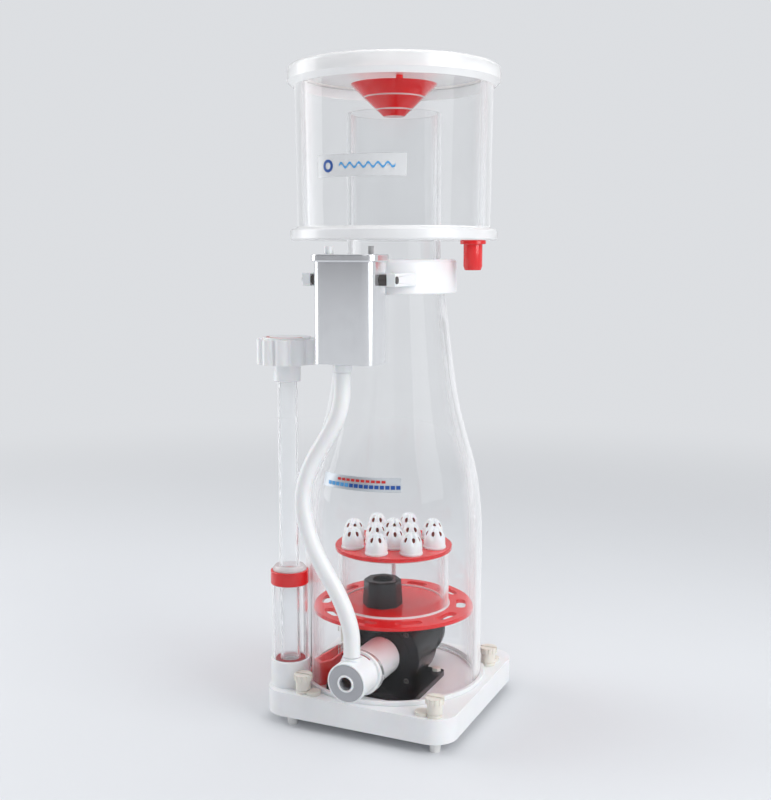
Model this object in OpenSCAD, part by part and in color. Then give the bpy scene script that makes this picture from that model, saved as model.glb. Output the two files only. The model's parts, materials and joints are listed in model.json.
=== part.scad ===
// Protein skimmer, in-sump needle-wheel type. Millimetres, +Z up, front is -Y.

/* [Chamber] */
// Outside radius of the reaction chamber at its foot
chamber_r = 67.3; // [60:0.1:75]
// Wall thickness of the reaction chamber
chamber_wall = 4; // [3:0.5:6]
// Outside radius of the neck collar
collar_r = 46.8; // [42:0.1:52]

/* [Cup] */
// Outside radius of the lid
lid_r = 77.3; // [70:0.1:85]
// Outside radius of the cup floor flange
flange_r = 76.2; // [70:0.1:84]
// Outside radius of the riser tube
riser_r = 34.5; // [30:0.1:38]
// Height of the lid's top
lid_top = 480; // [470:1:490]

/* [Base] */
// Half width of the base plate
base_hx = 75; // [70:0.5:82]
// Half depth of the base plate
base_hy = 75.5; // [70:0.5:82]
// Top of the base plate
base_top = 26; // [22:0.5:30]
// Underside of the base plate
base_low = 7.7; // [5:0.1:10]

/* [Level regulator] */
// Sideways distance of the outlet pipe from the chamber axis
pipe_x = -60.5; // [-66:0.5:-58]
// Depth distance of the outlet pipe from the chamber axis
pipe_y = -54.5; // [-60:0.5:-50]
// Radius of the level knob over its lobes
knob_r = 22; // [18:0.5:24]
// Outside radius of the level tube
level_r = 7.4; // [6:0.1:8]

/* [Pump and intake] */
// Sideways position of the pump shaft
pump_x = 3; // [0:0.5:6]
// Height of the pump shaft
pump_z = 47.8; // [46:0.1:50]
// Reach of the intake in front of the chamber axis
intake_reach = 90; // [84:0.5:96]
// Outside radius of the intake tube
intake_r = 14.5; // [12:0.1:16]

/* [Bubble plate] */
// Number of nozzles in the outer ring
nozzle_n = 8; // [6:1:8]
// Number of slots round the lower disc
slot_n = 10; // [8:1:12]

/* [Hidden] */
ax = (knob_r - pipe_x - lid_r) / 2;
ay = (intake_reach - lid_r) / 2;
// Radius of the shallow recess in the base's top, inside the chamber
rec_r = chamber_r - chamber_wall - 0.3;
// Centre of the silencer, and the height of its clamp screws
sil_x = -2.7;
sil_y = -68;
sil_z = 329;
// Underside, rim and cap of the silencer
sil_low = 271.5;
sil_rim = 341.3;
cap_top = 346.5;
// Centre of the air nipple on the intake tube
hose_x = 2.5;
hose_y = -78;
// Radius of the air hose
hose_r = 6;
// Centre of the pump's outlet
out_x = -5;
out_y = -9;
// Lower and upper bubble plates: underside heights and thickness
disc_z = 78.5;
plate_z = 124.3;
disc_t = 3;
// Chamber neck: underside of the collar, top of the chamber
neck_z = 318;
neck_top = 338;
// Cup: underside of the floor, foot of the wall, top of the wall, top of the riser
cup_z = 356.2;
wall_z = 364.6;
rim_z = 472.8;
riser_top = 447;
// Underside of the lid's disc; foot, top and top radius of the cone
disc_low = lid_top - 5.4;
cone_z = 445.2;
cone_top = 467.8;
cone_r = 31.4;
// Outlet pipe: foot, top, top of its ring
pipe_z = 46;
pipe_top = 103.6;
pipe_ring = 113.8;
// Underside and top of the level knob's grip
knob_z = 267.7;
knob_top = 286;
screw_at = [[-42.5, -68], [61.8, -67.7], [-63.5, 41], [63.5, 41]];
prof = [[26, 67.3], [140, 67.3], [150, 67.0], [158, 66.4], [166, 65.6], [173, 64.7], [179, 63.8],
        [191.5, 61.1], [199, 59.0], [207, 56.6], [216, 54.0], [226, 51.3], [238, 48.7], [252, 46.3],
        [268, 44.1], [286, 41.7], [302, 39.8], [312, 38.7], [318, 38.3], [338, 38.3]];
// Chamber's outside radius at height z, and the cone's at height z
function cr(z) = lookup(z, prof) + chamber_r - prof[0][1];
function kr(z) = 7.7 + (z - cone_z) * (cone_r - 7.7) / (cone_top - cone_z);
// Ring grooves in the cone
groove_z = [449.5, 458.2];
$fa = 6;
$fs = 0.8;

// Place relative to the chamber's axis
module here(x = 0, y = 0, z = 0) translate([ax + x, ay + y, z]) children();
// Tube round Z from z0 to z1
module tube(ro, ri, z0, z1) translate([0, 0, z0]) difference() {
  cylinder(r = ro, h = z1 - z0);
  translate([0, 0, -1]) cylinder(r = ri, h = z1 - z0 + 2);
}
// Box from one corner to the other
module blk(a, b) translate(a) cube(b - a);
// Cylinder along Y from y0 to y1 at (x, z)
module ycyl(x, z, y0, y1, r) translate([x, y1, z]) rotate([90, 0, 0]) cylinder(r = r, h = y1 - y0);
// Rounded rectangle
module rrect(hx, hy, rc) union() {
  square([2 * hx, 2 * (hy - rc)], center = true);
  square([2 * (hx - rc), 2 * hy], center = true);
  for (i = [-1, 1], j = [-1, 1]) translate([i * (hx - rc), j * (hy - rc)]) circle(r = rc);
}
// Slab with rounded corners
module slab(hx, hy, z0, z1, rc) translate([0, 0, z0]) linear_extrude(z1 - z0) rrect(hx, hy, rc);

// ---- base ----
module base_plate() color("white") here() difference() {
  slab(base_hx, base_hy, base_low, base_top, 18);
  translate([0, 0, base_top - 2]) cylinder(r = rec_r, h = 5);
  for (p = screw_at) translate([p[0], p[1], 11]) cylinder(r = 3.05, h = 20);
}
module feet() color("gainsboro") here()
  for (p = [[-52.3, -66.7], [61.8, -66.7], [-61.8, 62], [61.8, 62]])
    translate([p[0], p[1], 0]) cylinder(r1 = 3.6, r2 = 4.6, h = base_low);
module screw_tabs() color("antiquewhite") here() for (i = [0:3]) {
  p = screw_at[i];
  t = i == 0 ? [1, 0] : i == 1 ? [-1, 0] : [0, 1];
  difference() {
    union() for (q = [p, p + t * (i == 0 ? 8.5 : 9.5)])
      translate([q[0], q[1], base_top]) cylinder(r = 5.4, h = 2.4);
    translate([p[0], p[1], base_top - 1]) cylinder(r = 3.4, h = 5);
  }
}
// Slotted quarter-turn screw with a knurled head
module thumb(p) here(p[0], p[1]) difference() {
  union() {
    translate([0, 0, 12]) cylinder(r = 3, h = 17);
    translate([0, 0, base_top + 2.7]) cylinder(r = 5.5, h = 7.4);
    translate([0, 0, base_top + 10]) cylinder(r = 6.8, h = 4.2);
  }
  translate([-9, -0.9, base_top + 12.2]) cube([18, 1.8, 4]);
  for (a = [15:30:345]) rotate(a) translate([7.2, 0, base_top + 9]) cylinder(r = 0.9, h = 7);
}
module thumb_screw_fl() color("antiquewhite") thumb(screw_at[0]);
module thumb_screw_fr() color("antiquewhite") thumb(screw_at[1]);
module thumb_screw_bl() color("antiquewhite") thumb(screw_at[2]);
module thumb_screw_br() color("antiquewhite") thumb(screw_at[3]);

// ---- chamber ----
module chamber_ring() color("white") here() difference() {
  tube(chamber_r + 3.2, chamber_r + 0.1, base_top, base_top + 3.2);
  for (p = screw_at) translate([p[0], p[1], 20]) cylinder(r = 7.6, h = 20);
  translate([pipe_x, pipe_y, 20]) cylinder(r = 15.2, h = 20);
}
module chamber() color("aliceblue", 0.5) here() difference() {
  rotate_extrude() polygon(concat([for (p = prof) [cr(p[0]), p[0]]],
    [[35.2, neck_top], [35.2, 312], [cr(302) - chamber_wall, 302]],
    [for (i = [15:-1:1]) [cr(prof[i][0]) - chamber_wall, prof[i][0]]], [[cr(26) - chamber_wall, 26]]));
  ycyl(pump_x, pump_z, -80, -50, 16.6);
  rotate(atan2(pipe_y, pipe_x)) translate([55, 0, 34]) rotate([0, 90, 0]) cylinder(r = 4.5, h = 20);
}
module neck_collar() color("white") here() rotate_extrude() polygon([[38.6, neck_z], [collar_r - 1, neck_z],
  [collar_r, neck_z + 1], [collar_r, 340.9], [collar_r - 1.8, 342.7], [34.85, 342.7],
  [34.85, neck_top + 0.3], [38.6, neck_top + 0.3]]);
module level_label() color("silver") here() rotate(270 - 29) rotate_extrude(angle = 58)
  polygon([[cr(180.6) + 0.05, 180.6], [cr(190.4) + 0.05, 190.4], [cr(190.4) + 0.4, 190.4],
           [cr(180.6) + 0.4, 180.6]]);

// ---- cup ----
module riser_tube() color("aliceblue", 0.5) here() difference() {
  tube(riser_r, riser_r - 3, neck_z + 0.5, riser_top);
  rotate_extrude() translate([riser_r - 1.4, 328]) square([3, 2.6]);
}
module neck_seal() color("dimgray") here() rotate_extrude() translate([riser_r - 0.25, 329.3])
  circle(r = 0.85);
module cup_floor() color("white", 0.6) here() difference() {
  rotate_extrude() polygon([[riser_r, cup_z], [flange_r - 1.2, cup_z], [flange_r, cup_z + 1.2],
    [flange_r, wall_z - 1.2], [flange_r - 1.2, wall_z], [riser_r, wall_z]]);
  translate([62, 0, 350]) cylinder(r = 4.8, h = 20);
}
module cup_wall() color("aliceblue", 0.5) here() rotate_extrude() polygon([[67.2, wall_z], [70.7, wall_z],
  [72, rim_z], [68.5, rim_z]]);
module drain_nipple() color("red") here(62, 0) difference() {
  union() {
    translate([0, 0, 353.4]) cylinder(r = 9.2, h = 2.8);
    translate([0, 0, 338]) cylinder(r = 6.8, h = 16);
    translate([0, 0, 335]) cylinder(r1 = 5.9, r2 = 6.8, h = 3);
  }
  translate([0, 0, 330]) cylinder(r = 4.6, h = 30);
}
module cup_label() color("lightgray", 0.7) here() rotate(270 - 23) rotate_extrude(angle = 54)
  polygon([[71.3, 398.5], [71.5, 413.5], [71.8, 413.5], [71.6, 398.5]]);

// ---- lid ----
module lid() color("white", 0.6) here() rotate_extrude() difference() {
  union() {
    translate([0, disc_low]) square([lid_r - 3.5, 5.4]);
    polygon([[72.5, lid_top - 14.6], [73, lid_top - 14.6], [lid_r, lid_top - 10.8],
      [lid_r, lid_top - 3.5], [72.5, lid_top - 3.5]]);
    translate([lid_r - 3.5, lid_top - 3.5]) circle(r = 3.5);
  }
  translate([60, disc_low - 12]) square([12.5, 12]);
}
module lid_seal() color("white") here() tube(71.9, 68.6, disc_low - 1.5, disc_low);
module lid_cone() color("red", 0.7) here() difference() {
  union() {
    rotate_extrude() polygon([[0, cone_z], [7.7, cone_z], [cone_r, cone_top], [cone_r - 3, cone_top],
      [6.2, cone_z + 3], [0, cone_z + 3]]);
    translate([3.6, 1.6, cone_z + 1]) cylinder(r = 2.6, h = disc_low - cone_z - 1);
    for (a = [0, 90]) rotate(a + 24) intersection() {
      translate([-30, -1.1, cone_z + 0.8]) cube([60, 2.2, cone_top - cone_z - 0.8]);
      rotate_extrude() polygon([[0, cone_z + 0.8], [7, cone_z + 0.8], [cone_r - 1.5, cone_top],
        [0, cone_top]]);
    }
  }
  for (z = groove_z) rotate_extrude() translate([kr(z) - 0.9, z]) square([4, 1]);
}
module cone_rings() color("white", 0.6) here() for (z = groove_z)
  rotate_extrude() translate([kr(z + 0.05) - 0.8, z + 0.05]) square([1.5, 0.9]);

// ---- silencer ----
module silencer_box() color("white") here(sil_x, sil_y) difference() {
  slab(23, 15, sil_low, sil_rim, 8);
  translate([0, 0, sil_low + 3]) linear_extrude(80) rrect(20.5, 12.5, 5.5);
  translate([-6.3, 0, sil_low - 1.5]) cylinder(r = 3.4, h = 8);
}
module silencer_cap() color("white") here(sil_x, sil_y) difference() {
  slab(25, 16.5, sil_rim, cap_top, 9);
  translate([-15, -2, sil_rim - 1]) cylinder(r = 1.8, h = 9);
  translate([15.9, 0, sil_rim - 1]) cylinder(r = 1.26, h = 9);
}
module silencer_foam() color("gray") here(sil_x, sil_y)
  translate([0, 0, sil_low + 4.5]) linear_extrude(56) rrect(19.5, 11.5, 5);
module air_nipple() color("white") here(sil_x - 15, sil_y - 2) tube(3.3, 1.8, cap_top, 352);
module air_screw() color("gray") here(sil_x + 15.9, sil_y) difference() {
  union() {
    translate([0, 0, sil_rim + 0.7]) cylinder(r = 1.2, h = 5.5);
    translate([0, 0, cap_top + 0.3]) cylinder(r = 1.9, h = 5.2);
  }
  translate([-3, -0.3, 350.8]) cube([6, 0.6, 3]);
}
module silencer_barb() color("white") here(sil_x - 6.3, sil_y) tube(6.7, 3.4, 265, sil_low);
module silencer_bracket() color("white") here() difference() {
  union() {
    blk([-38.5, -71, sil_z - 4.5], [-32, -24, sil_z + 4.5]);
    blk([26, -71, sil_z - 4.5], [32.5, -30, sil_z + 4.5]);
    blk([-33, -52.5, sil_z - 4.5], [27, -38, sil_z + 4.5]);
  }
  translate([0, 0, 300]) cylinder(r = collar_r + 0.05, h = 60);
  translate([-50, sil_y, sil_z]) rotate([0, 90, 0]) cylinder(r = 2.56, h = 100);
}
// Knurled clamp screw; s is the side
module clamp(s) here(sil_x, sil_y, sil_z) rotate([0, s * 90, 0]) difference() {
  union() {
    translate([0, 0, 23.3]) cylinder(r = 3.9, h = 5);
    translate([0, 0, 28]) cylinder(r = 2.5, h = s > 0 ? 7.6 : 8.2);
  }
  for (a = [0:45:315]) rotate(a) translate([4.1, 0, 22]) cylinder(r = 0.5, h = 8);
}
module clamp_screw_left() color("dimgray") clamp(-1);
module clamp_screw_right() color("dimgray") clamp(1);

// ---- air hose: round bar swept through chosen points ----
hp = [[-9, -68, 264.8], [-9, -68, 258], [-9.5, -68.5, 246], [-12, -69, 235], [-17.5, -69.5, 224],
      [-24, -70, 213], [-30.5, -71, 202], [-35.5, -72, 190], [-38, -73, 178], [-37.5, -74, 166],
      [-34, -75.5, 153], [-28, -77.5, 140], [-20, -79, 127.5], [-11.5, -79.5, 115], [-4.5, -79, 102],
      [0, -78.5, 90], [2.1, -78, 80], [hose_x, hose_y, 71], [hose_x, hose_y, 64.4]];
function unit(v) = v / norm(v);
function tang(i) = i == 0 ? unit(hp[1] - hp[0]) : i == len(hp) - 1 ? unit(hp[i] - hp[i - 1])
  : unit(unit(hp[i + 1] - hp[i]) + unit(hp[i] - hp[i - 1]));
function ring(i) = let (t = tang(i), u = unit(cross(t, [0, 1, 0])), v = cross(t, u))
  [for (k = [0:11]) hp[i] + hose_r * (cos(30 * k) * u + sin(30 * k) * v)];
module air_hose() color("white") here() polyhedron(
  points = [for (i = [0:len(hp) - 1]) each ring(i)],
  faces = concat([[for (k = [11:-1:0]) k]], [[for (k = [0:11]) (len(hp) - 1) * 12 + k]],
    [for (i = [0:len(hp) - 2], k = [0:11])
      [i * 12 + k, i * 12 + (k + 1) % 12, (i + 1) * 12 + (k + 1) % 12, (i + 1) * 12 + k]]));

// ---- intake ----
module intake_tube() color("white") here() difference() {
  ycyl(pump_x, pump_z, 1 - intake_reach, -28, intake_r);
  ycyl(pump_x, pump_z, -95, -20, intake_r - 3);
  ycyl(pump_x, pump_z, -95, 6 - intake_reach, intake_r - 1.2);
}
module intake_cap() color("darkgray") here() difference() {
  union() {
    ycyl(pump_x, pump_z, 1 - intake_reach, 6 - intake_reach, intake_r - 1.25);
    ycyl(pump_x, pump_z, -intake_reach, 3 - intake_reach, 6.3);
  }
  ycyl(pump_x, pump_z, -95, -70, 4.8);
}
module intake_barb() color("white") here(hose_x, hose_y) difference() {
  tube(6.7, 3.4, 55, 64);
  ycyl(pump_x - hose_x, pump_z, -20, 20, intake_r + 0.02);
}
module intake_seal() color("white") here() translate([pump_x, -64.6, pump_z]) rotate([90, 0, 0])
  tube(16.5, intake_r + 0.05, 0, 2.6);

// ---- pump ----
module pump_volute() color("black") here() difference() {
  union() {
    translate([0, 8, 0]) rotate([90, 0, 0]) linear_extrude(36) intersection() {
      union() {
        translate([pump_x + 2, pump_z + 1.2]) circle(r = 28);
        translate([out_x - 11, 50]) square([22, disc_z - 50.2]);
        translate([-19, 28]) square([44, 9]);
      }
      translate([-60, 28]) square([120, disc_z - 28.2]);
    }
    translate([out_x, out_y, disc_z - 8.5]) cylinder(r = 9, h = 8.5 + disc_t);
  }
  ycyl(pump_x, pump_z, -25, 5, 21.5);
  for (a = [0:120:240]) translate([pump_x, 0, pump_z]) rotate([0, a, 0]) ycyl(0, 7.2, -30, -20, 3.5);
  ycyl(pump_x, pump_z, 0, 12, 10);
  translate([out_x, out_y, 55]) cylinder(r = 6.5, h = 40);
}
module pump_outlet() color("black") here(out_x, out_y) difference() {
  translate([0, 0, disc_z + disc_t]) rotate(22.5) cylinder(r1 = 15.4, r2 = 14.2, h = 20, $fn = 8);
  translate([0, 0, 80]) cylinder(r = 7.5, h = 30);
}
module pump_motor() color("black") here() difference() {
  union() {
    ycyl(pump_x, pump_z, 8, 47, 22.4);
    ycyl(pump_x, pump_z, 47, 51, 19);
  }
  ycyl(pump_x, pump_z, 7, 45, 10);
}
module pump_foot() color("black") here(pump_x, -19) difference() {
  slab(35, 32, base_top - 2, 28, 3);
  for (i = [-1, 1]) translate([i * 29.5, 27.5, 20]) cylinder(r = 2.1, h = 10);
  ycyl(0, pump_z, 26.8, 40, 22.6);
}
module foot_screws() color("ivory") here(pump_x, -19)
  for (i = [-1, 1]) translate([i * 29.5, 27.5, base_top - 2]) {
    cylinder(r = 2, h = 4.2);
    translate([0, 0, 4]) cylinder(r = 3.6, h = 2.4, $fn = 6);
  }
module pump_shaft() color("lightgray") here() ycyl(pump_x, pump_z, -24, 45, 1.5);
module shaft_bushes() color("ivory") here() for (y = [-24.9, 41]) difference() {
  ycyl(pump_x, pump_z, y, y + 4, y < 0 ? 4.5 : 9.9);
  ycyl(pump_x, pump_z, y < 0 ? -24 : y - 1, y + 5, 1.5);
}
module impeller() color("white") here() difference() {
  union() {
    ycyl(pump_x, pump_z, -4, -2, 18.5);
    ycyl(pump_x, pump_z, -19, -4, 4.2);
    for (a = [0:30:330]) translate([pump_x, 0, pump_z]) rotate([0, a, 0]) {
      ycyl(0, 16.5, -17, -3.9, 0.9);
      ycyl(0, 12.2, -17, -3.9, 0.9);
    }
    ycyl(pump_x, pump_z, -2, 9.2, 4.2);
  }
  ycyl(pump_x, pump_z, -30, 30, 1.56);
}
module rotor_magnet() color("dimgray") here() difference() {
  ycyl(pump_x, pump_z, 9.2, 38, 8.8);
  ycyl(pump_x, pump_z, 0, 50, 1.56);
}
module cable_gland() color("black") here() union() {
  ycyl(pump_x, pump_z + 9, 51, 55, 5.5);
  ycyl(pump_x, pump_z + 9, 55, 59, 3.6);
}

// ---- bubble plate ----
module lower_disc() color("red", 0.7) here() difference() {
  translate([0, 0, disc_z]) cylinder(r = 61.2, h = disc_t);
  translate([out_x, out_y, 70]) cylinder(r = 9.1, h = 20);
  for (i = [0:slot_n - 1]) rotate(270 + i * 360 / slot_n) {
    translate([0, 0, 77]) rotate(-7) rotate_extrude(angle = 14) translate([48.6, 0]) square([6.8, 6]);
    for (a = [-7, 7]) rotate(a) translate([52, 0, 77]) cylinder(r = 3.4, h = 6);
  }
}
module diffuser_tube() color("aliceblue", 0.5) here() tube(42.3, 39.5, disc_z + disc_t, plate_z);
module upper_disc() color("red", 0.7) here() difference() {
  translate([0, 0, plate_z]) cylinder(r = 44.7, h = disc_t);
  nozzle_at() translate([0, 0, plate_z - 4]) cylinder(r = 2.6, h = 10);
}
// Where the nozzles stand
module nozzle_at() {
  for (i = [0:nozzle_n - 1]) rotate(272 + i * 360 / nozzle_n) translate([33.2, 0, 0]) children();
  for (i = [0:3]) rotate(295 + i * 90) translate([13.4, 0, 0]) children();
}
module nozzles() color("white") here() nozzle_at() translate([0, 0, plate_z + disc_t]) difference() {
  rotate_extrude() polygon([[0, 0], [8.3, 0], [8.3, 1.2], [7.8, 7], [6.4, 11.4], [3.4, 15.6], [0, 15.6]]);
  translate([0, 0, -1]) cylinder(r = 2.6, h = 9);
}
module centre_rod() color("white") here(-4.4, 10) translate([0, 0, disc_z + disc_t])
  cylinder(r = 1.7, h = plate_z - disc_z - disc_t);

// ---- outlet and level regulator ----
module outlet_socket() color("white") here() difference() {
  translate([pipe_x, pipe_y, base_top]) cylinder(r = 14.6, h = 20);
  translate([pipe_x, pipe_y, 30]) cylinder(r = 11.7, h = 30);
  translate([0, 0, 20]) cylinder(r = chamber_r + 0.1, h = 30);
  rotate(atan2(pipe_y, pipe_x)) translate([60, 0, 34]) rotate([0, 90, 0]) cylinder(r = 3, h = 20);
}
module outlet_pipe() color("aliceblue", 0.5) here(pipe_x, pipe_y) tube(13.5, 11.7, pipe_z, pipe_top);
module outlet_ring() color("red") here(pipe_x, pipe_y) tube(14.1, level_r + 0.3, pipe_top, pipe_ring);
module ring_cap() color("white", 0.6) here(pipe_x, pipe_y) rotate_extrude()
  polygon([[level_r + 0.3, pipe_ring], [12.6, pipe_ring], [12.6, pipe_ring + 1.2],
           [10.8, pipe_ring + 3.6], [level_r + 0.3, pipe_ring + 3.6]]);
module outlet_duct() color("red", 0.7) here() difference() {
  translate([0, 0, base_top - 2]) linear_extrude(18)
    polygon([[-46.5, -41], [-38, -47], [-33, -38], [-33, -8], [-45, -8]]);
  translate([0, 0, base_top]) linear_extrude(20)
    polygon([[-44.5, -39], [-38.8, -43], [-35, -36.5], [-35, -5], [-43, -5]]);
}
module level_tube() color("aliceblue", 0.5) here(pipe_x, pipe_y) tube(level_r, level_r - 1.6, 44, 262);
module level_piston() color("darkred") here(pipe_x, pipe_y) tube(11.3, level_r + 0.02, 44, 46);
module level_collar() color("white") here(pipe_x, pipe_y) tube(10, level_r + 0.02, 255, 267.4);
module level_knob() color("white") here(pipe_x, pipe_y) difference() {
  union() {
    translate([0, 0, knob_z]) linear_extrude(knob_top - knob_z) union() {
      circle(r = 19);
      for (a = [0:36:324]) rotate(a) translate([16.8, 0]) circle(r = knob_r - 16.8);
    }
    translate([0, 0, knob_top]) cylinder(r = 17.5, h = 1.2);
  }
  translate([0, 0, knob_top + 0.6]) rotate(190) rotate_extrude(angle = 160)
    translate([12.9, 0]) square([2.2, 3]);
}
module knob_mark() color("red") here(pipe_x, pipe_y, knob_top + 0.6) rotate(191)
  rotate_extrude(angle = 158) translate([13, 0]) square([2, 0.7]);

base_plate();
feet();
chamber_ring();
chamber();
neck_collar();
neck_seal();
cup_wall();
cup_floor();
riser_tube();
drain_nipple();
cup_label();
lid();
lid_seal();
lid_cone();
cone_rings();
silencer_box();
silencer_cap();
silencer_foam();
air_nipple();
air_screw();
silencer_barb();
silencer_bracket();
clamp_screw_left();
clamp_screw_right();
air_hose();
intake_tube();
intake_cap();
intake_barb();
intake_seal();
pump_volute();
pump_motor();
pump_foot();
foot_screws();
impeller();
rotor_magnet();
pump_shaft();
shaft_bushes();
pump_outlet();
cable_gland();
lower_disc();
diffuser_tube();
upper_disc();
nozzles();
centre_rod();
outlet_socket();
outlet_pipe();
outlet_ring();
ring_cap();
outlet_duct();
level_tube();
level_piston();
level_collar();
level_knob();
knob_mark();
level_label();
screw_tabs();
thumb_screw_fl();
thumb_screw_fr();
thumb_screw_bl();
thumb_screw_br();
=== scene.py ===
"""Looks of the protein skimmer: camera, hose, detail pieces, materials, floor and light."""

import json
import math
import random

import bmesh
import bpy
from mathutils import Matrix, Vector


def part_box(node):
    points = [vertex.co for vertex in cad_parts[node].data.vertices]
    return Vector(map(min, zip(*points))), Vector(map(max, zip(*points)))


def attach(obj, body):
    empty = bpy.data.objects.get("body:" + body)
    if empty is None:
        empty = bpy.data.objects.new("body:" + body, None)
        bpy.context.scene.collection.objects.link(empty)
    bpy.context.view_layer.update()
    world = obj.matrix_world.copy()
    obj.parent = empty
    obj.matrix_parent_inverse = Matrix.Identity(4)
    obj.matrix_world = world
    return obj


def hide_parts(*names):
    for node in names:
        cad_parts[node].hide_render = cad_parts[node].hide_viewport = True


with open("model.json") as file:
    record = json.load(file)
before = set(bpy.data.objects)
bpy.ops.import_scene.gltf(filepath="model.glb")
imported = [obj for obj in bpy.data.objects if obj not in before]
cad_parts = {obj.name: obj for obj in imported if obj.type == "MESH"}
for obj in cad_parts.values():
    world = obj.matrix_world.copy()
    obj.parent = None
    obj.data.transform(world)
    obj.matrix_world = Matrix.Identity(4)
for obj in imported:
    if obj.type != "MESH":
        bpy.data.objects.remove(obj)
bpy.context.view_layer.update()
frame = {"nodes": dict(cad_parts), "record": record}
NODES = frame["nodes"]
RNG = random.Random(7)
MM = 0.001
UP = Vector((0, 0, 1))
DOWN = Vector((0, 0, -1))
FRONT = Vector((0, -1, 0))


def centre(node):
    """Middle of a CAD node's box."""
    lo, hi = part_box(node)
    return (lo + hi) / 2


AXIS = centre("chamber")


def at(x, y, z):
    """A point given in millimetres from the chamber's axis and the floor, in the frame's metres."""
    return Vector((AXIS.x + x * MM, AXIS.y + y * MM, z * MM))


# ---------------------------------------------------------------- camera
def add_camera():
    azimuth, pitch = math.radians(24.4), math.radians(7.7)
    cam = bpy.data.cameras.new("camera")
    cam.sensor_fit, cam.sensor_width, cam.lens = "HORIZONTAL", 36.0, 51.1
    cam.clip_start, cam.clip_end = 0.01, 50.0
    obj = bpy.data.objects.new("camera", cam)
    bpy.context.scene.collection.objects.link(obj)
    obj.location = at(331.6, -745.9, 347.9)
    obj.rotation_euler = (math.pi / 2 - pitch, 0, azimuth)
    bpy.context.scene.camera = obj


add_camera()


# ---------------------------------------------------------------- node materials
class Tree:
    """A node material with short calls for what the surfaces here need."""

    def __init__(self, name, **values):
        self.name = name
        self.mat = bpy.data.materials.new(name)
        self.mat.use_nodes = True
        self.nodes, self.links = self.mat.node_tree.nodes, self.mat.node_tree.links
        self.bsdf = self.nodes["Principled BSDF"]
        self.out = self.nodes["Material Output"]
        self.surface = self.bsdf.outputs["BSDF"]
        self.place = self.nodes.new("ShaderNodeTexCoord").outputs["Object"]
        for key, value in values.items():
            self.bsdf.inputs[key.replace("_", " ")].default_value = value

    def put(self, output, key):
        """Links an output to the main shader's input of that name."""
        self.links.new(output, self.bsdf.inputs[key])

    def stretch(self, scale):
        """Object coordinates scaled by a different factor along each axis."""
        node = self.nodes.new("ShaderNodeMapping")
        node.inputs["Scale"].default_value = scale
        self.links.new(self.place, node.inputs["Vector"])
        return node.outputs["Vector"]

    def noise(self, scale, detail=4.0, rough=0.55, vector=None):
        node = self.nodes.new("ShaderNodeTexNoise")
        node.inputs["Scale"].default_value = scale
        node.inputs["Detail"].default_value = detail
        node.inputs["Roughness"].default_value = rough
        self.links.new(vector or self.place, node.inputs["Vector"])
        return node.outputs["Fac"]

    def cells(self, scale):
        node = self.nodes.new("ShaderNodeTexVoronoi")
        node.inputs["Scale"].default_value = scale
        self.links.new(self.place, node.inputs["Vector"])
        return node.outputs["Distance"]

    def span(self, value, low, high, to_low, to_high):
        """Maps low..high to to_low..to_high, clamped at both ends."""
        node = self.nodes.new("ShaderNodeMapRange")
        limits = {"From Min": low, "From Max": high, "To Min": to_low, "To Max": to_high}
        for key, v in limits.items():
            node.inputs[key].default_value = v
        self.links.new(value, node.inputs["Value"])
        return node.outputs["Result"]

    def ramp(self, value, *stops):
        """A colour for each value, from (position, colour) stops."""
        node = self.nodes.new("ShaderNodeValToRGB")
        band = node.color_ramp
        while len(band.elements) < len(stops):
            band.elements.new(0.5)
        for element, (position, colour) in zip(band.elements, stops):
            element.position, element.color = position, (*colour, 1.0)
        self.links.new(value, node.inputs["Fac"])
        return node.outputs["Color"]

    def maths(self, operation, a, b):
        """Two numbers or outputs combined."""
        node = self.nodes.new("ShaderNodeMath")
        node.operation = operation
        for socket, v in zip(node.inputs, (a, b)):
            if isinstance(v, (int, float)):
                socket.default_value = v
            else:
                self.links.new(v, socket)
        return node.outputs[0]

    def bump(self, height, strength, distance):
        """Adds a bump on top of any bump that the material already has."""
        node = self.nodes.new("ShaderNodeBump")
        node.inputs["Strength"].default_value = strength
        node.inputs["Distance"].default_value = distance
        self.links.new(height, node.inputs["Height"])
        if self.bsdf.inputs["Normal"].is_linked:
            self.links.new(self.bsdf.inputs["Normal"].links[0].from_socket, node.inputs["Normal"])
        self.links.new(node.outputs["Normal"], self.bsdf.inputs["Normal"])

    def whiten_edges(self, share):
        """A clear wall seen along its surface scatters white."""
        facing = self.nodes.new("ShaderNodeLayerWeight")
        facing.inputs["Blend"].default_value = 0.35
        milk = self.nodes.new("ShaderNodeBsdfPrincipled")
        milk.inputs["Base Color"].default_value = (0.93, 0.94, 0.95, 1)
        milk.inputs["Roughness"].default_value = 0.35
        mix = self.nodes.new("ShaderNodeMixShader")
        whitened = self.span(facing.outputs["Facing"], 0.35, 0.8, 0.0, share)
        self.links.new(whitened, mix.inputs["Fac"])
        self.links.new(self.surface, mix.inputs[1])
        self.links.new(milk.outputs["BSDF"], mix.inputs[2])
        self.surface = mix.outputs["Shader"]

    def let_lamps_through(self, tint):
        """Rays from lamps pass straight through, so what is behind the clear wall is lit."""
        path = self.nodes.new("ShaderNodeLightPath")
        clear = self.nodes.new("ShaderNodeBsdfTransparent")
        clear.inputs["Color"].default_value = (*tint, 1.0)
        mix = self.nodes.new("ShaderNodeMixShader")
        self.links.new(path.outputs["Is Shadow Ray"], mix.inputs["Fac"])
        self.links.new(self.surface, mix.inputs[1])
        self.links.new(clear.outputs["BSDF"], mix.inputs[2])
        self.links.new(mix.outputs["Shader"], self.out.inputs["Surface"])


def shade(colour, factor):
    """The colour made darker or lighter, and never over 1."""
    return tuple(min(1.0, c * factor) for c in colour)


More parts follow.
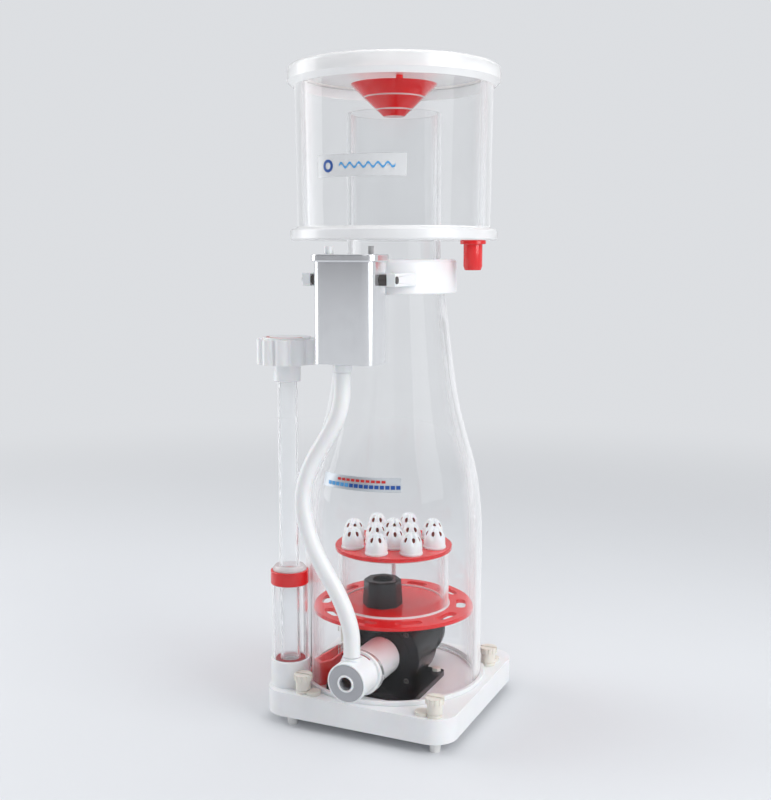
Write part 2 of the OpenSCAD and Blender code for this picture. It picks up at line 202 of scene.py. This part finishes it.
def moulded(name, colour, rough=(0.3, 0.4), grain=900, depth=0.00002, spread=0.03, **values):
    """Injection-moulded plastic: faint clouds, uneven gloss, a fine grain and a few scuffs."""
    t = Tree(name, **values)
    cloud = t.noise(45, 5, 0.6)
    dark, pale = shade(colour, 1 - spread), shade(colour, 1 + spread / 2)
    t.put(t.ramp(cloud, (0.3, dark), (0.55, colour), (0.75, pale)), "Base Color")
    scuff = t.noise(1.0, 6, 0.7, t.stretch((260, 260, 60)))
    t.put(t.span(t.maths("ADD", t.noise(120), scuff), 0.75, 1.3, *rough), "Roughness")
    t.bump(t.noise(grain, 2), 0.08, depth)
    t.bump(t.noise(14, 2), 0.2, 0.0003)
    return t


def clear(name, colour, weight, rough=(0.0, 0.04), tint=(0.95, 0.96, 0.97), edge=0.0, **values):
    """Clear or frosted acrylic: a little wavy and hazy, with uneven gloss and whiter edges."""
    t = Tree(name, Transmission_Weight=weight, IOR=1.49, **values)
    haze = t.noise(30, 6, 0.65)
    t.put(t.ramp(haze, (0.25, shade(colour, 0.97)), (0.7, colour)), "Base Color")
    wipe = t.noise(1.0, 3, 0.5, t.stretch((30, 30, 90)))
    t.put(t.span(wipe, 0.35, 0.65, *rough), "Roughness")
    t.bump(t.noise(9, 2), 0.05, 0.0001)
    if edge:
        t.whiten_edges(edge)
    t.let_lamps_through(tint)
    return t


# Injection-moulded and rubber surfaces: colour, range of roughness, scale and depth of the grain,
# and how far the colour varies.
MOULDED = {
    "white_plastic": dict(colour=(0.86, 0.87, 0.885), rough=(0.3, 0.38), Coat_Weight=0.25,
                          Coat_Roughness=0.08, Subsurface_Weight=0.12, Subsurface_Scale=0.004),
    "pearl_plastic": dict(colour=(0.80, 0.81, 0.83), rough=(0.16, 0.22), grain=700, depth=0.00001,
                          spread=0.02, Metallic=0.8, Coat_Weight=0.5, Coat_Roughness=0.05),
    "ivory_plastic": dict(colour=(0.80, 0.77, 0.70), rough=(0.35, 0.48), grain=1100, depth=0.00003,
                          spread=0.06, Subsurface_Weight=0.1, Subsurface_Scale=0.002),
    "rubber_foot": dict(colour=(0.80, 0.80, 0.79), rough=(0.55, 0.7), grain=1500, depth=0.00004,
                        spread=0.06),
    "white_rubber": dict(colour=(0.84, 0.85, 0.86), rough=(0.3, 0.42), grain=1400, Coat_Weight=0.2,
                         Coat_Roughness=0.15, Subsurface_Weight=0.15, Subsurface_Scale=0.003),
    "rubber_seal": dict(colour=(0.035, 0.035, 0.038), rough=(0.5, 0.65), grain=1300, depth=0.00004,
                        spread=0.2),
    "dark_red_rubber": dict(colour=(0.30, 0.006, 0.012), rough=(0.35, 0.5), grain=1300,
                            depth=0.00003, spread=0.15),
    "grey_plastic": dict(colour=(0.34, 0.34, 0.35), rough=(0.3, 0.45)),
    "light_grey_plastic": dict(colour=(0.44, 0.45, 0.48), rough=(0.4, 0.55), grain=1000,
                               depth=0.00003),
    "dark_plastic": dict(colour=(0.07, 0.062, 0.06), rough=(0.3, 0.42), grain=1000, depth=0.00003,
                         spread=0.15),
    "black_plastic": dict(colour=(0.004, 0.004, 0.005), rough=(0.17, 0.25), grain=800, spread=0.2,
                          Specular_IOR_Level=0.35, Coat_Weight=0.06, Coat_Roughness=0.1),
    # Painted shade: a dark reddish colour on the walls of the nozzles' jet holes, standing in for
    # the shade inside them.
    "hole_painted_shade": dict(colour=(0.46, 0.12, 0.08), rough=(0.5, 0.7)),
    "red_plastic": dict(colour=(0.72, 0.012, 0.014), rough=(0.16, 0.26), grain=1000, spread=0.05,
                        Coat_Weight=0.4, Coat_Roughness=0.05, Subsurface_Weight=0.1,
                        Subsurface_Scale=0.003),
    "blue_ink": dict(colour=(0.02, 0.09, 0.36), rough=(0.3, 0.4)),
    "sky_ink": dict(colour=(0.10, 0.38, 0.75), rough=(0.3, 0.4)),
    "red_ink": dict(colour=(0.62, 0.03, 0.03), rough=(0.3, 0.4)),
    "ceramic": dict(colour=(0.80, 0.79, 0.75), rough=(0.12, 0.2), grain=1600, depth=0.00001),
}

# Clear surfaces: colour, share of light let through, and a tint for the light from lamps.
CLEAR = {
    "clear_acrylic": dict(colour=(0.985, 0.988, 0.99), weight=1.0, edge=0.85,
                          Specular_Tint=(0.3, 0.3, 0.3, 1)),
    "cloudy_acrylic": dict(colour=(0.96, 0.965, 0.97), weight=0.88, rough=(0.02, 0.1), edge=0.95,
                           Specular_Tint=(0.6, 0.6, 0.6, 1)),
    "frosted_acrylic": dict(colour=(0.95, 0.955, 0.96), weight=0.45, rough=(0.12, 0.2),
                            tint=(0.75, 0.75, 0.75)),
    "red_acrylic": dict(colour=(0.84, 0.004, 0.006), weight=0.3, rough=(0.05, 0.12),
                        tint=(0.9, 0.3, 0.3), Coat_Weight=0.3, Coat_Roughness=0.03),
    "label_grey": dict(colour=(0.86, 0.87, 0.88), weight=0.55, rough=(0.1, 0.2),
                       tint=(0.85, 0.85, 0.85)),
}


def brushed_label():
    t = Tree("label_silver", Metallic=0.35)
    brush = t.noise(1.0, 3, 0.5, t.stretch((40, 40, 300)))
    t.put(t.ramp(brush, (0.3, (0.60, 0.64, 0.68)), (0.7, (0.66, 0.70, 0.74))), "Base Color")
    t.put(t.span(brush, 0.2, 0.8, 0.3, 0.42), "Roughness")
    return t


def open_foam():
    t = Tree("grey_foam", Roughness=0.95)
    pores = t.cells(650)
    # Painted shade: the pits between the foam's cells are coloured darker, and the same pattern
    # dents them in the bump.
    t.put(t.ramp(pores, (0.1, (0.02, 0.02, 0.022)), (0.55, (0.12, 0.12, 0.13))), "Base Color")
    t.bump(pores, 0.9, 0.0008)
    return t


def build_materials():
    """Every material by name: the record's slots, and a few looks that share a slot."""
    trees = [moulded(name, **values) for name, values in MOULDED.items()]
    trees += [clear(name, **values) for name, values in CLEAR.items()]
    trees += [brushed_label(), open_foam()]
    return {t.name: t.mat for t in trees}


MATS = build_materials()


def add_mesh(name, verts, faces, mat, body, smooth=True):
    """A piece of one material that rides on a body, with outward normals and creases kept sharp."""
    me = bpy.data.meshes.new(name)
    me.from_pydata([tuple(v) for v in verts], [], faces)
    me.materials.append(MATS[mat])
    me.polygons.foreach_set("use_smooth", [smooth] * len(me.polygons))
    bm = bmesh.new()
    bm.from_mesh(me)
    bmesh.ops.recalc_face_normals(bm, faces=bm.faces)
    bm.to_mesh(me)
    bm.free()
    me.set_sharp_from_angle(angle=math.radians(38))
    obj = bpy.data.objects.new(name, me)
    bpy.context.scene.collection.objects.link(obj)
    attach(obj, body)


def lathe(profile, steps, origin, up=UP):
    """Vertices and faces of a closed (r, z) profile in millimetres turned round up at origin."""
    side = up.orthogonal().normalized()
    other = up.cross(side)
    verts, faces, n = [], [], len(profile)
    for k in range(steps):
        a = 2 * math.pi * k / steps
        radial = side * math.cos(a) + other * math.sin(a)
        verts += [origin + (radial * r + up * z) * MM for r, z in profile]
    for k in range(steps):
        for i in range(n):
            j = (i + 1) % n
            a, b = k * n, (k + 1) % steps * n
            faces.append((a + i, b + i, b + j, a + j))
    return verts, faces


def merge(parts):
    """Several (verts, faces) as one."""
    verts, faces = [], []
    for v, f in parts:
        base = len(verts)
        verts += v
        faces += [tuple(i + base for i in q) for q in f]
    return verts, faces


def soften(obj, width, segments):
    """Rounds the sharp edges, as a moulded part has, and hardens the flat faces' normals."""
    weld = obj.modifiers.new("weld", "WELD")
    weld.merge_threshold = 0.000002
    bevel = obj.modifiers.new("bevel", "BEVEL")
    bevel.width, bevel.segments = width, segments
    bevel.limit_method, bevel.angle_limit = "ANGLE", math.radians(32)
    bevel.harden_normals = True
    bevel.use_clamp_overlap = True
    bevel.miter_outer = "MITER_ARC"


# ---------------------------------------------------------------- hose
# The centre line from the silencer down to the intake, in millimetres from the chamber's axis.
HOSE = [(-9, -68, 264.8), (-9, -68, 258), (-9.5, -68.5, 246), (-12, -69, 235), (-17.5, -69.5, 224),
        (-24, -70, 213), (-30.5, -71, 202), (-35.5, -72, 190), (-38, -73, 178), (-37.5, -74, 166),
        (-34, -75.5, 153), (-28, -77.5, 140), (-20, -79, 127.5), (-11.5, -79.5, 115),
        (-4.5, -79, 102), (0, -78.5, 90), (2.1, -78, 80), (2.5, -78, 71), (2.5, -78, 64.4)]
HOSE_R = 0.006


def add_hose():
    points = [at(*p) for p in HOSE]
    curve = bpy.data.curves.new("hose_line", "CURVE")
    curve.dimensions = "3D"
    curve.bevel_depth = HOSE_R
    curve.bevel_resolution = 8
    curve.resolution_u = 10
    curve.use_fill_caps = True
    spline = curve.splines.new("BEZIER")
    spline.bezier_points.add(len(points) - 1)
    for i, (knot, p) in enumerate(zip(spline.bezier_points, points)):
        before, after = points[max(i - 1, 0)], points[min(i + 1, len(points) - 1)]
        along = (after - before).normalized()
        knot.co = p
        knot.handle_left_type = knot.handle_right_type = "FREE"
        knot.handle_left = p - along * (p - before).length / 3
        knot.handle_right = p + along * (after - p).length / 3
    curve.materials.append(MATS["white_rubber"])
    hose = bpy.data.objects.new("hose_line", curve)
    bpy.context.scene.collection.objects.link(hose)
    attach(hose, "skimmer")
    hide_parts("air_hose")


add_hose()


# ---------------------------------------------------------------- nozzles
PETALS = 6
# Half the outline of a nozzle, from its foot to the hollow on its top: (r, z) in millimetres.
BUD = [(8.3, 0.0), (8.5, 0.3), (8.5, 1.5), (8.1, 1.9), (8.0, 6.6), (7.9, 7.8), (7.6, 9.2),
       (7.1, 10.8), (6.4, 12.3), (5.5, 13.6), (4.6, 14.7), (3.8, 15.3), (3.0, 15.6), (2.1, 15.2),
       (1.2, 13.8)]


def bud_radius(r, z, a):
    """Above its foot, the bud is pinched between its petals."""
    foot, rise, pinch = 6.6, 6.0, 0.26
    depth = max(0.0, min(1.0, (z - foot) / rise))
    return r * (1 - pinch * depth * (0.5 + 0.5 * math.cos(PETALS * a)) ** 2)


def loose_object(name, bm, mat):
    me = bpy.data.meshes.new(name)
    bm.to_mesh(me)
    bm.free()
    me.materials.append(MATS[mat])
    obj = bpy.data.objects.new(name, me)
    bpy.context.scene.collection.objects.link(obj)
    return obj


def solid_bud():
    bm = bmesh.new()
    steps = 12 * PETALS
    turns = [2 * math.pi * k / steps for k in range(steps)]
    rings = []
    for r, z in BUD:
        radii = [bud_radius(r, z, a) for a in turns]
        rings.append([bm.verts.new((p * math.cos(a) * MM, p * math.sin(a) * MM, z * MM))
                      for p, a in zip(radii, turns)])
    for low, high in zip(rings, rings[1:]):
        for k in range(steps):
            n = (k + 1) % steps
            bm.faces.new((low[k], low[n], high[n], high[k]))
    bm.faces.new(rings[-1])
    bm.faces.new(list(reversed(rings[0])))
    for f in bm.faces:
        f.smooth = True
    return loose_object("bud", bm, "white_plastic")


def jet_holes():
    """One slanting oval cone between each two petals, to be cut out of the bud."""
    radius, height, slope = 5.2, 11.2, 0.5
    bm = bmesh.new()
    for k in range(PETALS):
        a = math.radians(360 / PETALS * k)
        out = Vector((math.cos(a), math.sin(a), slope)).normalized()
        middle = Vector((math.cos(a) * radius, math.sin(a) * radius, height)) * MM
        turn = out.to_track_quat("Z", "Y").to_matrix().to_4x4()
        oval = Matrix.Diagonal((1, 1.7, 1, 1))
        bmesh.ops.create_cone(bm, cap_ends=True, segments=16, radius1=1.0 * MM, radius2=1.25 * MM,
                              depth=4.6 * MM, matrix=Matrix.Translation(middle) @ turn @ oval)
    # The boolean cut passes this material to the hole walls, so they carry the painted shade.
    return loose_object("bud_cut", bm, "hole_painted_shade")


def nozzle_bud():
    """The mesh of one nozzle: a round foot, and petals with a jet hole between each two."""
    bud, cutter = solid_bud(), jet_holes()
    hole = bud.modifiers.new("holes", "BOOLEAN")
    hole.operation, hole.object = "DIFFERENCE", cutter
    hole.solver, hole.material_mode = "EXACT", "TRANSFER"
    bpy.context.view_layer.update()
    done = bpy.data.meshes.new_from_object(bud.evaluated_get(bpy.context.evaluated_depsgraph_get()))
    for obj in (bud, cutter):
        bpy.data.objects.remove(obj)
    return done


def add_nozzles():
    """Eight nozzles round the upper disc's rim and four in its middle, each turned at random."""
    bud = nozzle_bud()
    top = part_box("upper_disc")[1].z / MM
    bm = bmesh.new()
    outer = [(33.2, 272 + 45 * i) for i in range(8)]
    inner = [(13.4, 295 + 90 * i) for i in range(4)]
    for r, degrees in outer + inner:
        a = math.radians(degrees)
        move = Matrix.Translation(at(r * math.cos(a), r * math.sin(a), top))
        turn = Matrix.Rotation(RNG.uniform(0, 2 * math.pi / PETALS), 4, "Z")
        piece = bud.copy()
        piece.transform(move @ turn)
        bm.from_mesh(piece)
        bpy.data.meshes.remove(piece)
    me = bpy.data.meshes.new("nozzle_buds")
    bm.to_mesh(me)
    bm.free()
    for m in bud.materials:
        me.materials.append(m)
    me.set_sharp_from_angle(angle=math.radians(40))
    obj = bpy.data.objects.new("nozzle_buds", me)
    bpy.context.scene.collection.objects.link(obj)
    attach(obj, "skimmer")
    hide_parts("nozzles")


add_nozzles()


# ---------------------------------------------------------------- labels
class Label:
    """A label bent round the chamber's axis, with marks just proud of its face, in millimetres."""

    # A mark's two faces over the label's own face, and the longest straight step along a bar.
    UNDER, OVER, STEP = 0.02, 0.14, 1.5

    def __init__(self, node):
        lo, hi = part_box(node)
        self.low, self.high = lo.z / MM, hi.z / MM
        half = (lo.z + hi.z) / 2
        points = [v.co - AXIS for v in NODES[node].data.vertices]
        self.foot = max(math.hypot(p.x, p.y) for p in points if p.z + AXIS.z < half) / MM
        self.head = max(math.hypot(p.x, p.y) for p in points if p.z + AXIS.z > half) / MM
        turns = [math.atan2(p.y, p.x) for p in points]
        self.middle = (min(turns) + max(turns)) / 2
        self.verts, self.faces = [], []

    def spot(self, u, v, lift):
        """u is along the label from its middle and v up from its foot, in millimetres."""
        r = self.foot + (self.head - self.foot) * v / (self.high - self.low) + lift
        a = self.middle + u / self.foot
        return at(r * math.cos(a), r * math.sin(a), self.low + v)

    def strip(self, sections, closed=False):
        """A thin raised strip through sections, each of which is a pair of (u, v) points."""
        base, n = len(self.verts), len(sections)
        for a, b in sections:
            self.verts += [self.spot(*a, self.UNDER), self.spot(*b, self.UNDER),
                           self.spot(*b, self.OVER), self.spot(*a, self.OVER)]
        for k in range(n if closed else n - 1):
            i, j = base + 4 * k, base + 4 * ((k + 1) % n)
            self.faces += [(i + e, i + (e + 1) % 4, j + (e + 1) % 4, j + e) for e in range(4)]
        if not closed:
            last = base + 4 * (n - 1)
            self.faces += [tuple(range(end, end + 4)) for end in (base, last)]

    def bar(self, u0, u1, v0, v1):
        n = max(2, int((u1 - u0) / self.STEP) + 1)
        self.strip([((u, v0), (u, v1)) for u in (u0 + (u1 - u0) * i / (n - 1) for i in range(n))])

    def done(self, name, ink, body):
        add_mesh(name, self.verts, self.faces, ink, body, smooth=False)
        self.verts, self.faces = [], []


def add_label_marks():
    """Dashes over scale ticks on the chamber's label, and a ring and a wave on the cup's."""
    level = Label("level_label")
    pitch, dash, tick = 3.9, 2.8, 3.0
    first_dash, first_tick = -17, -26
    for i in range(10):
        level.bar(first_dash + i * pitch, first_dash + dash + i * pitch, 6.2, 8.0)
    level.done("level_dashes", "red_ink", "skimmer")
    ticks = (("level_ticks_pale", "sky_ink", range(5)), ("level_ticks", "blue_ink", range(5, 15)))
    for name, ink, places in ticks:
        for i in places:
            level.bar(first_tick + i * pitch, first_tick + tick + i * pitch, 2.0, 4.6)
        level.done(name, ink, "skimmer")

    cup = Label("cup_label")
    middle = 7.5
    ring_at, inside, outside = -23.5, 2.3, 4.3
    turns = [2 * math.pi * k / 40 for k in range(40)]
    rim = [tuple((ring_at + r * math.cos(a), middle + r * math.sin(a)) for r in (inside, outside))
           for a in turns]
    cup.strip(rim, closed=True)
    cup.done("cup_mark_ring", "blue_ink", "cup")
    start, length, crests, height, half_line = -14, 40, 6, 1.5, 0.8
    steps = 15 * crests
    wave = [(start + length * k / steps,
             middle + height * math.sin(2 * math.pi * crests * k / steps))
            for k in range(steps + 1)]
    cup.strip([((u, v - half_line), (u, v + half_line)) for u, v in wave])
    cup.done("cup_mark_wave", "sky_ink", "cup")


add_label_marks()


# ---------------------------------------------------------------- small pieces
RING_STEPS = 96


def add_ring(name, profile, origin, mat, body, up=UP):
    verts, faces = lathe(profile, RING_STEPS, origin, up)
    add_mesh(name, verts, faces, mat, body)


def bead(radius, minor):
    """The profile of a round bead: (r, z) round the circle."""
    turns = [2 * math.pi * k / 12 for k in range(12)]
    return [(radius + minor * math.cos(a), minor * math.sin(a)) for a in turns]


def fillet(radius, size):
    """The profile of a glue fillet outside a tube of this radius, standing on z = 0."""
    arc = [(radius + size * (1 - math.sin(a)), size * (1 - math.cos(a)))
           for a in (math.pi / 2 * k / 5 for k in range(6))]
    return [(radius - 0.3, 0.0)] + arc + [(radius - 0.3, size)]


def node_radius(node):
    """Half a round node's width, in millimetres."""
    lo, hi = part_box(node)
    return (hi.x - lo.x) / 2 / MM


def intake_eye():
    """The middle of the intake's front face, which is on the pump's axis."""
    low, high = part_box("intake_cap")
    return Vector(((low.x + high.x) / 2, low.y, (low.z + high.z) / 2))


def add_intake_details(eye):
    """The lip round the inlet, and a short red line on top of the intake tube."""
    add_ring("intake_lip", bead(5.5, 0.75), eye + Vector((0, 0.0004, 0)), "white_rubber",
             "skimmer", FRONT)

    sunk, proud = node_radius("intake_tube") - 0.2, node_radius("intake_tube") + 0.25
    near, far = at(0, -68.8, 0).y, at(0, -67.9, 0).y
    arc = [math.radians(a) for a in range(52, 88, 3)]
    verts, faces = [], []
    for a in arc:
        for r, y in ((sunk, near), (proud, near), (proud, far), (sunk, far)):
            verts.append(Vector((eye.x + r * MM * math.cos(a), y, eye.z + r * MM * math.sin(a))))
    n = len(arc)
    for i in range(0, 4 * (n - 1), 4):
        faces += [(i + e, i + (e + 1) % 4, i + 4 + (e + 1) % 4, i + 4 + e) for e in range(4)]
    faces += [(0, 1, 2, 3), (4 * n - 4, 4 * n - 3, 4 * n - 2, 4 * n - 1)]
    add_mesh("intake_mark", verts, faces, "dark_red_rubber", "skimmer")


def add_pump_details(eye):
    """A raised ring and four screws on the pump's face, and ribs round its motor."""
    face = Vector((eye.x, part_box("pump_volute")[0].y, eye.z))
    ring = [(20.2, -0.4), (20.5, 0.9), (22.4, 0.9), (22.9, 0.4), (22.9, -0.4)]
    add_ring("volute_ring", ring, face, "black_plastic", "skimmer", FRONT)
    head = [(0.5, -0.4), (2.0, -0.4), (2.0, 0.8), (1.6, 1.3), (0.9, 1.45), (0.9, 0.5), (0.5, 0.5)]
    aside, above, spread = 2, 1.2, 25.3
    heads = []
    for degrees in (45, 135, 225, 315):
        a = math.radians(degrees)
        spot = face + Vector((aside + spread * math.cos(a), 0, above + spread * math.sin(a))) * MM
        heads.append(lathe(head, 24, spot, FRONT))
    add_mesh("volute_screws", *merge(heads), "dark_plastic", "skimmer")

    drum = node_radius("pump_motor")
    rib = [(drum - 0.4, -0.9), (drum + 0.5, -0.6), (drum + 0.5, 0.6), (drum - 0.4, 0.9)]
    ribs = [lathe(rib, 72, Vector((eye.x, at(0, y, 0).y, eye.z)), FRONT) for y in range(16, 41, 6)]
    add_mesh("motor_ribs", *merge(ribs), "black_plastic", "skimmer")


def add_glue_beads():
    """Glue at the foot of the cup's wall and at both ends of the tube between the discs."""
    wall = Label("cup_wall")
    add_ring("cup_fillet", fillet(wall.foot - 0.05, 1.4), at(0, 0, wall.low), "frosted_acrylic",
             "cup")
    glue = fillet(node_radius("diffuser_tube"), 1.2)
    line = Vector((AXIS.x, AXIS.y, 0))
    low = lathe(glue, RING_STEPS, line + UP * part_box("lower_disc")[1].z)
    high = lathe(glue, RING_STEPS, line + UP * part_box("upper_disc")[0].z, DOWN)
    add_mesh("diffuser_fillets", *merge([low, high]), "frosted_acrylic", "skimmer")


EYE = intake_eye()
add_intake_details(EYE)
add_pump_details(EYE)
add_glue_beads()


# ---------------------------------------------------------------- CAD nodes
# How far each node's edges are rounded, in metres, and in how many segments.
EDGES = {"base_plate": (0.0030, 4), "silencer_box": (0.0012, 3), "silencer_cap": (0.0010, 3),
         "pump_foot": (0.0006, 2), "level_knob": (0.0010, 3), "pump_volute": (0.0045, 5),
         "pump_motor": (0.0030, 4), "pump_outlet": (0.0009, 3), "silencer_bracket": (0.0010, 3),
         "outlet_socket": (0.0008, 3), "outlet_ring": (0.0006, 2), "level_collar": (0.0008, 2),
         "lid": (0.0006, 2), "cup_floor": (0.0005, 2), "drain_nipple": (0.0005, 2),
         "intake_tube": (0.0005, 2), "intake_cap": (0.0005, 2), "screw_tabs": (0.0004, 2),
         "neck_collar": (0.0005, 2), "chamber_ring": (0.0006, 2), "upper_disc": (0.0004, 2),
         "lower_disc": (0.0004, 2), "feet": (0.0006, 2), "silencer_barb": (0.0005, 2),
         "intake_barb": (0.0004, 2), "air_nipple": (0.0003, 2)}
OTHER_EDGES = (0.00025, 2)
# Nodes whose look differs from their slot's own material.
OTHER_LOOK = {"silencer_box": "pearl_plastic", "silencer_cap": "pearl_plastic",
              "level_tube": "cloudy_acrylic"}
# A mirror-like flat top shows every bent normal, so this node is shaded flat.
FLAT = {"silencer_cap"}


def finish_nodes():
    """Gives each CAD node its material, its shading and its rounded edges."""
    kinds = {row["node"]: row["material_slot"] for row in frame["record"]["subparts"]}
    kinds.update(OTHER_LOOK)
    for name, obj in NODES.items():
        for slot in obj.material_slots:
            slot.material = MATS[kinds[name]]
        if obj.hide_render:
            continue
        me = obj.data
        if "custom_normal" in me.attributes:
            me.attributes.remove(me.attributes["custom_normal"])
        me.polygons.foreach_set("use_smooth", [name not in FLAT] * len(me.polygons))
        soften(obj, *EDGES.get(name, OTHER_EDGES))


finish_nodes()


# ---------------------------------------------------------------- stage
PALE = (0.72, 0.735, 0.76)


def add_world():
    """A pale backdrop, seen directly and through clear walls, and a softer light for the rest."""
    world = bpy.data.worlds.new("studio")
    bpy.context.scene.world = world
    world.use_nodes = True
    nodes, links = world.node_tree.nodes, world.node_tree.links
    nodes.clear()
    out = nodes.new("ShaderNodeOutputWorld")
    seen = nodes.new("ShaderNodeBackground")
    seen.inputs["Color"].default_value = (*PALE, 1)

    # The light is dark in front of the object and pale behind it.
    light = nodes.new("ShaderNodeBackground")
    direction = nodes.new("ShaderNodeTexCoord").outputs["Generated"]
    split = nodes.new("ShaderNodeSeparateXYZ")
    links.new(direction, split.inputs["Vector"])
    remap = nodes.new("ShaderNodeMapRange")
    remap.inputs["From Min"].default_value, remap.inputs["From Max"].default_value = -1, 1
    links.new(split.outputs["Y"], remap.inputs["Value"])
    band = nodes.new("ShaderNodeValToRGB")
    front, back = band.color_ramp.elements
    front.position, front.color = 0.08, (0.10, 0.10, 0.11, 1)
    back.position, back.color = 0.42, (0.50, 0.51, 0.525, 1)
    links.new(remap.outputs["Result"], band.inputs["Fac"])
    links.new(band.outputs["Color"], light.inputs["Color"])

    # A ray that has only passed through clear walls has no more turns than transmissions. The world
    # itself counts as one turn.
    path = nodes.new("ShaderNodeLightPath")
    turns = nodes.new("ShaderNodeMath")
    turns.operation = "SUBTRACT"
    links.new(path.outputs["Ray Depth"], turns.inputs[0])
    links.new(path.outputs["Transmission Depth"], turns.inputs[1])
    straight = nodes.new("ShaderNodeMath")
    straight.operation = "LESS_THAN"
    straight.inputs[1].default_value = 1.5
    links.new(turns.outputs[0], straight.inputs[0])
    mix = nodes.new("ShaderNodeMixShader")
    links.new(straight.outputs[0], mix.inputs["Fac"])
    links.new(light.outputs["Background"], mix.inputs[1])
    links.new(seen.outputs["Background"], mix.inputs[2])
    links.new(mix.outputs["Shader"], out.inputs["Surface"])


def add_floor():
    """A pale floor that fades into the backdrop with distance."""
    t = Tree("floor", Roughness=0.7)
    t.put(t.ramp(t.noise(3, 4), (0.3, shade(PALE, 0.985)), (0.7, PALE)), "Base Color")
    far = t.nodes.new("ShaderNodeVectorMath")
    far.operation = "LENGTH"
    t.links.new(t.place, far.inputs[0])
    fade = t.nodes.new("ShaderNodeMapRange")
    fade.interpolation_type = "SMOOTHSTEP"
    fade.inputs["From Min"].default_value, fade.inputs["From Max"].default_value = 0.35, 1.5
    t.links.new(far.outputs["Value"], fade.inputs["Value"])
    glow = t.nodes.new("ShaderNodeEmission")
    glow.inputs["Color"].default_value = (*PALE, 1)
    blend = t.nodes.new("ShaderNodeMixShader")
    t.links.new(fade.outputs["Result"], blend.inputs["Fac"])
    t.links.new(t.bsdf.outputs["BSDF"], blend.inputs[1])
    t.links.new(glow.outputs["Emission"], blend.inputs[2])
    t.links.new(blend.outputs["Shader"], t.out.inputs["Surface"])
    t.mat.cycles.emission_sampling = "NONE"

    me = bpy.data.meshes.new("floor")
    side = 12.0
    corners = [(-side, -side, 0), (side, -side, 0), (side, side, 0), (-side, side, 0)]
    me.from_pydata(corners, [], [(0, 1, 2, 3)])
    me.materials.append(t.mat)
    floor = bpy.data.objects.new("floor", me)
    bpy.context.scene.collection.objects.link(floor)


def add_lamps():
    """Each lamp's name, place, width and height, watts, and the point that it faces."""
    for name, spot, size, watts, aim in (
        ("key_right", (1.15, -0.30, 0.75), (0.8, 1.2), 10.5, (0, 0, 0.22)),
        ("key_left", (-1.15, -0.20, 0.65), (0.7, 1.2), 8.0, (0, 0, 0.22)),
        ("top", (0.1, 0.15, 1.5), (1.1, 1.1), 6.5, (0, 0, 0.2)),
        ("front", (0.25, -1.6, 0.9), (1.0, 0.8), 3.0, (0, 0, 0.22)),
    ):
        lamp = bpy.data.lights.new(name, "AREA")
        lamp.shape, lamp.size, lamp.size_y, lamp.energy = "RECTANGLE", size[0], size[1], watts
        obj = bpy.data.objects.new(name, lamp)
        bpy.context.scene.collection.objects.link(obj)
        obj.location = spot
        obj.rotation_euler = (Vector(spot) - Vector(aim)).to_track_quat("Z", "Y").to_euler()
        obj.visible_transmission = False


def set_light_paths():
    """True colours, and enough bounces for the nested clear walls."""
    scene = bpy.context.scene
    scene.view_settings.view_transform = "Standard"
    scene.cycles.max_bounces = 20
    scene.cycles.transmission_bounces = 20
    scene.cycles.transparent_max_bounces = 24


add_world()
add_floor()
add_lamps()
set_light_paths()

bpy.context.view_layer.update()
